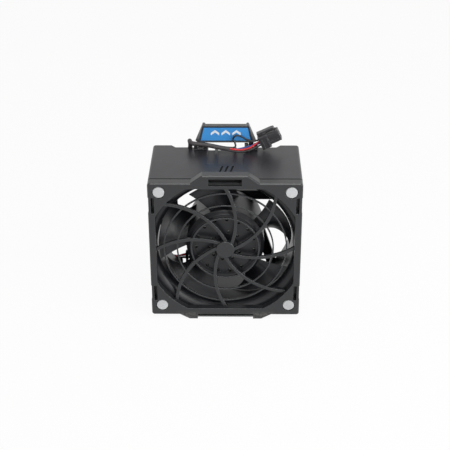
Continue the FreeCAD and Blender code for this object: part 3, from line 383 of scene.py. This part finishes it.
def braided():
    """Woven sleeving on the lead: two crossing sets of strands."""
    m = Nodes("sleeve_black")
    strands = []
    for turn in (1.0, -1.0):
        wave = m.add("ShaderNodeTexWave", wave_type="BANDS", bands_direction="DIAGONAL")
        mapping = m.add("ShaderNodeMapping")
        m.feed(mapping, ("Scale", (turn, 1.0, 1.0)), ("Vector", m.place))
        m.feed(wave, ("Vector", mapping.outputs["Vector"]), ("Scale", 420.0))
        strands.append(wave.outputs["Fac"])
    weave = m.math("MAXIMUM", *strands)
    fuzz = m.noise(2400.0, 3.0)
    m.set(Base_Color=m.mix(m.spread(weave, 0.1, 0.9), rgb(36, 34, 34), rgb(62, 59, 59)),
          Roughness=m.spread(fuzz, 0.3, 0.7, 0.45, 0.62),
          Normal=m.bump(weave, 0.00008, 0.6, m.bump(fuzz, 0.00002, 0.5)))


def printed_tag():
    """Blue printed tag: a dark rim, three white chevrons that point up, satin laminate, fine scuffs."""
    m = Nodes("tag_print")
    x, _, z = m.drawn_place()
    wide = m.math("ABSOLUTE", x)
    side = m.math("SUBTRACT", m.math("SUBTRACT", TAG_HALF_W_AT_AXIS, m.math("MULTIPLY", z, TAG_TAPER)), wide)
    ends = m.math("MINIMUM", m.math("SUBTRACT", z, TAG_LOW), m.math("SUBTRACT", TAG_HIGH, z))
    rim = m.math("MINIMUM", side, ends)
    across = m.math("PINGPONG", m.math("ADD", x, FAR_PERIODS * CHEVRON_PITCH), CHEVRON_PITCH / 2)
    rise = m.math("SUBTRACT", m.math("ADD", z, m.math("MULTIPLY", across, CHEVRON_SLOPE)), CHEVRON_TOP)
    stroke = m.math("SUBTRACT", CHEVRON_STROKE / 2, m.math("ABSOLUTE", rise))
    stroke = m.math("MINIMUM", stroke, m.math("SUBTRACT", CHEVRON_HALF_W, across))
    stroke = m.math("MINIMUM", stroke, m.math("SUBTRACT", CHEVRON_PITCH * 1.5, wide))
    cloud = m.noise(60.0, 3.0)
    scuff = m.noise(1300.0, 5.0, 0.7, 0.6)
    blue = m.mix(m.spread(cloud, 0.3, 0.7), rgb(70, 154, 224), rgb(62, 143, 214))
    printed = m.mix(m.spread(stroke, -CHEVRON_SOFT, CHEVRON_SOFT), blue, rgb(232, 238, 243))
    m.set(Base_Color=m.mix(m.spread(rim, TAG_RIM_OUT, TAG_RIM_IN), rgb(28, 40, 62), printed),
          Roughness=m.spread(scuff, 0.3, 0.7, 0.3, 0.45),
          Normal=m.bump(scuff, 0.000006, 0.5))


def housing_groove_shade(m):
    """Painted shade in the joint behind the bezel and in the three slanted grooves on top."""
    x, y, z = m.drawn_place()
    joint = m.within(y, BEZEL_REAR - JOINT_LAP, BEZEL_REAR + JOINT_W, JOINT_SOFT)
    lean = m.math("MULTIPLY", m.math("SUBTRACT", y, DASH_FRONT), DASH_LEAN / (DASH_REAR - DASH_FRONT))
    along = m.math("SUBTRACT", m.math("SUBTRACT", x, DASH_X + DASH_W / 2), lean)
    nearest = m.math("PINGPONG", m.math("ADD", along, FAR_PERIODS * DASH_PITCH), DASH_PITCH / 2)
    dashes = m.every(m.below(nearest, DASH_W / 2 + DASH_RIM, DASH_SOFT),
                     m.within(along, -DASH_END, 2 * DASH_PITCH + DASH_END),
                     m.within(y, DASH_FRONT - MASK_LAP, DASH_REAR + MASK_LAP),
                     m.within(z, HOUSING_TOP - GROOVE_FLOOR, HOUSING_TOP + GROOVE_ABOVE))
    return m.math("MAXIMUM", joint, dashes)


def hub_hole_shade(m):
    """The two rings of balance holes in the hub's face, painted dark as the shade inside them."""
    x, _, z = m.drawn_place()
    radius = m.hypot(x, z)
    angle = m.math("ARCTAN2", z, x)
    rings = []
    for count, ring, phase in HOLE_RINGS:
        pitch = math.tau / count
        turned = m.math("ADD", angle, 2 * math.tau - math.radians(phase))
        along = m.math("MULTIPLY", m.math("PINGPONG", turned, pitch / 2), ring)
        out = m.math("SUBTRACT", radius, ring)
        rings.append(m.below(m.hypot(along, out), HOLE_R, HOLE_SOFT))
    return m.math("MAXIMUM", *rings)


def sill_scuffs(m):
    """Rubbed patches beside the feet, where the module slides in its bay."""
    x, _, z = m.drawn_place()
    rubbed = m.spread(m.noise(700.0, 6.0, 0.75, 0.8), 0.46, 0.66, 0.0, 0.75)
    return m.every(rubbed, m.within(m.math("ABSOLUTE", x), SCUFF_IN_X, SCUFF_OUT_X, SCUFF_SOFT_X),
                   m.within(z, SCUFF_LOW, SCUFF_HIGH, SCUFF_SOFT_Z))


def window_shade(m):
    """The inside of the bulge's window, apart from its ledge, where shade is painted."""
    x, y, z = m.drawn_place()
    inside = m.every(m.within(x, -WINDOW_HALF_X - MASK_LAP, WINDOW_HALF_X + MASK_LAP),
                     m.within(z, WINDOW_BOTTOM - MASK_LAP, WINDOW_TOP + MASK_LAP),
                     m.within(y, WINDOW_FRONT, WINDOW_REAR))
    ledge = m.every(m.within(z, WINDOW_BOTTOM, LEDGE_TOP + MASK_LAP),
                    m.within(y, LEDGE_FRONT - MASK_LAP, WINDOW_REAR))
    return m.every(inside, m.math("SUBTRACT", 1.0, ledge))


def make_materials():
    dust_wear_and_sheen = rgb(96, 98, 101)
    moulded("carrier_plastic", rgb(47, 48, 50), dust_wear_and_sheen, 0.30, grain=0.000006, dusty=0.15)
    # The housing gets painted shade in the joint behind the bezel and in the grooves on its top.
    moulded("housing_plastic", rgb(38, 38, 42), dust_wear_and_sheen, 0.36, grain=0.000003, dusty=0.1, shaded=housing_groove_shade)
    # The handle's broad pale edges are painted reflection: the sheen of its side bars, seen at a grazing
    # angle.
    moulded("handle_plastic", rgb(48, 49, 52), rgb(136, 138, 141), 0.28, grain=0.000006, edge=0.0009,
            dusty=0.15)
    # Pale film of the recess strip: painted light for the lit top of the fan barrel.
    moulded("liner_painted_light", rgb(62, 62, 65), rgb(84, 84, 88), 0.5, grain=0.000006, dusty=0.2)
    # The bezel gets painted shade inside its window. The rubbed patches on its sill are wear.
    moulded("bezel_plastic", rgb(37, 38, 40), rgb(100, 102, 105), 0.30, grain=0.000006, edge=0.0005,
            dusty=0.15, shaded=window_shade, scuffed=sill_scuffs)
    moulded("guard_plastic", rgb(36, 37, 39), rgb(98, 100, 104), 0.26, grain=0.000006, edge=0.0005, dusty=0.2)
    moulded("fan_plastic", rgb(20, 21, 25), rgb(62, 64, 70), 0.32, grain=0.00001, dusty=0.2, ior=1.42)
    # The hub's holes get painted shade.
    moulded("impeller_plastic", rgb(21, 22, 26), rgb(38, 40, 45), 0.36, grain=0.000008, dusty=0.2, ior=1.45,
            shaded=hub_hole_shade)
    moulded("pin_rubber", rgb(194, 196, 197), rgb(208, 210, 210), 0.62, edge=0.0004)
    moulded("plug_plastic", rgb(54, 54, 57), rgb(104, 105, 108), 0.34, edge=0.0003)
    moulded("bobbin_plastic", rgb(220, 216, 204), rgb(232, 229, 220), 0.5)
    moulded("magnet", rgb(58, 55, 52), rgb(88, 84, 80), 0.55)
    moulded("chip_black", rgb(34, 34, 34), rgb(66, 66, 66), 0.5)
    moulded("board_green", rgb(34, 98, 62), rgb(120, 140, 96), 0.3)
    metal("steel", rgb(196, 198, 200), 0.28)
    metal("yoke_steel", rgb(150, 151, 152), 0.38)
    metal("lamination", rgb(128, 130, 134), 0.42)
    metal("brass", rgb(208, 178, 112), 0.3)
    metal("copper", rgb(196, 112, 66), 0.32)
    metal("terminal_tin", rgb(206, 206, 202), 0.25)
    insulation("wire_red", rgb(222, 56, 60), rgb(182, 34, 40))
    insulation("wire_black", rgb(40, 40, 42), rgb(28, 28, 29))
    insulation("wire_blue", rgb(52, 84, 168), rgb(34, 54, 118))
    braided()
    printed_tag()


def dress_nodes():
    """Each CAD node wears its slot's material, apart from three that have their own finish."""
    own = {"housing": "housing_plastic", "front_bezel": "bezel_plastic", "pull_handle": "handle_plastic"}
    for part in frame["record"]["subparts"]:
        materials = frame["nodes"][part["node"]].data.materials
        materials.clear()
        materials.append(MATERIALS[own.get(part["node"], part["material_slot"])])


make_materials()
dress_nodes()


# ---------------------------------------------------------------- free lead and small pieces

def lead(name, route, radius, node, slot):
    """A smooth round cord along the route, standing for its CAD node."""
    data = bpy.data.curves.new(name, "CURVE")
    data.dimensions = "3D"
    data.resolution_u = 12
    data.bevel_depth = radius / 1000
    data.bevel_resolution = 6
    data.use_fill_caps = True
    spline = data.splines.new("NURBS")
    spline.points.add(len(route) - 1)
    for point, place in zip(spline.points, route):
        point.co = (*at(*place), 1.0)
    spline.order_u = 3
    spline.use_endpoint_u = True
    data.materials.append(MATERIALS[slot])
    piece = add_object(name, data)
    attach(piece, "carrier")
    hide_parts(node)
    return piece


def settle_order(form):
    """Sorts the strip's pieces by place, because extruding leaves their order open from run to run."""
    def rank(point):
        # Weights so far apart that no two places of the strip tie.
        return point.x + 1e2 * point.y + 1e5 * point.z
    form.verts.sort(key=lambda vert: rank(vert.co))
    form.edges.sort(key=lambda edge: rank(edge.verts[0].co + edge.verts[1].co))
    form.faces.sort(key=lambda face: rank(face.calc_center_median()))


def recess_light_sheet():
    """Thin strip between the top wall and the fan, seen through the recess between its ribs: a pale sheet of
    painted light for the lit top of the fan barrel there.
    """
    form = bmesh.new()
    bmesh.ops.create_grid(form, x_segments=24, y_segments=8, size=0.5)
    low, high = LINER_LOW, LINER_HIGH
    for vert in form.verts:
        x = low[0] + (vert.co.x + 0.5) * (high[0] - low[0])
        y = low[1] + (vert.co.y + 0.5) * (high[1] - low[1])
        vert.co = at(x, y, low[2])
    grown = bmesh.ops.extrude_face_region(form, geom=form.faces[:])
    top = [piece for piece in grown["geom"] if isinstance(piece, bmesh.types.BMVert)]
    bmesh.ops.translate(form, verts=top, vec=Vector((0, 0, (high[2] - low[2]) / 1000)))
    bmesh.ops.recalc_face_normals(form, faces=form.faces[:])
    settle_order(form)
    liner = mesh_object("recess_light_sheet", form, MATERIALS["liner_painted_light"])
    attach(liner, "carrier")


def plug_ribs():
    """Rails, keys and grips moulded on the plug shell, drawn along the plug and tilted with it."""
    form = bmesh.new()
    for x0, x1, y0, y1, z0, z1 in PLUG_RAILS:
        size = Matrix.Diagonal((x1 - x0, y1 - y0, z1 - z0, 1.0))
        for side in (-1, 1):
            middle = Vector(((x0 + x1) / 2, side * (y0 + y1) / 2, (z0 + z1) / 2))
            bmesh.ops.create_cube(form, size=1.0, matrix=Matrix.Translation(middle) @ size)
    bmesh.ops.bevel(form, geom=form.edges[:], offset=RAIL_BEVEL, segments=2, affect="EDGES", profile=0.5)
    turn = Matrix.Rotation(math.radians(PLUG_TILT), 4, Vector((0, -1, 0)))
    form.transform(Matrix.Translation(at(*PLUG_FACE)) @ Matrix.Scale(0.001, 4) @ turn)
    ribs = mesh_object("plug_ribs", form, MATERIALS["plug_plastic"])
    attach(ribs, "carrier")
    return ribs


sleeve = lead("lead_sleeve", SLEEVE_ROUTE, SLEEVE_R, "cable_sleeve", "sleeve_black")
red = lead("lead_red", RED_ROUTE, WIRE_R, "wire_red", "wire_red")
black = lead("lead_black", BLACK_ROUTE, WIRE_R, "wire_black", "wire_black")
loop = lead("lead_loop", LOOP_ROUTE, WIRE_R, "wire_loop", "wire_black")
blue = lead("lead_blue", BLUE_ROUTE, WIRE_R, "wire_blue", "wire_blue")
recess_light_sheet()
ribs = plug_ribs()


# ---------------------------------------------------------------- stage and light

def make_floor():
    """A pale floor that the camera, metal and glass see nearly white, with the object's shadow on it."""
    mesh = bpy.data.meshes.new("floor")
    side = FLOOR_HALF
    corners = [(-side, -side, 0), (side, -side, 0), (side, side, 0), (-side, side, 0)]
    mesh.from_pydata(corners, [], [(0, 1, 2, 3)])
    floor = add_object("floor", mesh)
    m = Nodes("pale_floor")
    path = m.add("ShaderNodeLightPath")
    glow = m.add("ShaderNodeEmission")
    glow.inputs["Color"].default_value = WHITE
    seen = m.math("MAXIMUM", path.outputs["Is Camera Ray"],
                  m.math("MAXIMUM", path.outputs["Is Glossy Ray"], path.outputs["Is Transmission Ray"]))
    blend = m.add("ShaderNodeMixShader")
    m.feed(blend, (0, m.math("MULTIPLY", seen, FLOOR_GLOW)), (1, m.shader.outputs[0]), (2, glow.outputs[0]))
    m.link(blend.outputs[0], m.tree.nodes["Material Output"].inputs["Surface"])
    m.set(Base_Color=(0.88, 0.88, 0.88, 1.0), Roughness=0.9)
    mesh.materials.append(m.material)


def make_world():
    """An even fill of WORLD_LIGHT, seen as plain white by the camera, metal and glass."""
    world = bpy.data.worlds.new("studio")
    bpy.context.scene.world = world
    world.use_nodes = True
    tree = world.node_tree
    back = tree.nodes["Background"]
    path = tree.nodes.new("ShaderNodeLightPath")
    seen = path.outputs["Is Camera Ray"]
    for ray in ("Is Glossy Ray", "Is Transmission Ray"):
        most = tree.nodes.new("ShaderNodeMath")
        most.operation = "MAXIMUM"
        tree.links.new(seen, most.inputs[0])
        tree.links.new(path.outputs[ray], most.inputs[1])
        seen = most.outputs[0]
    strength = tree.nodes.new("ShaderNodeMapRange")
    strength.inputs["To Min"].default_value = WORLD_LIGHT
    strength.inputs["To Max"].default_value = 1.0
    tree.links.new(seen, strength.inputs["Value"])
    tree.links.new(strength.outputs["Result"], back.inputs["Strength"])
    back.inputs["Color"].default_value = WHITE


def softbox(name, place, aim, size, power):
    data = bpy.data.lights.new(name, "AREA")
    data.shape = "RECTANGLE"
    data.size, data.size_y = size
    data.energy = power
    lamp = add_object(name, data)
    lamp.location = at(*place)
    lamp.rotation_euler = (at(*aim) - at(*place)).to_track_quat("-Z", "Y").to_euler()


make_floor()
make_world()
for box in SOFTBOXES:
    softbox(*box)
bpy.context.scene.view_settings.view_transform = "Standard"
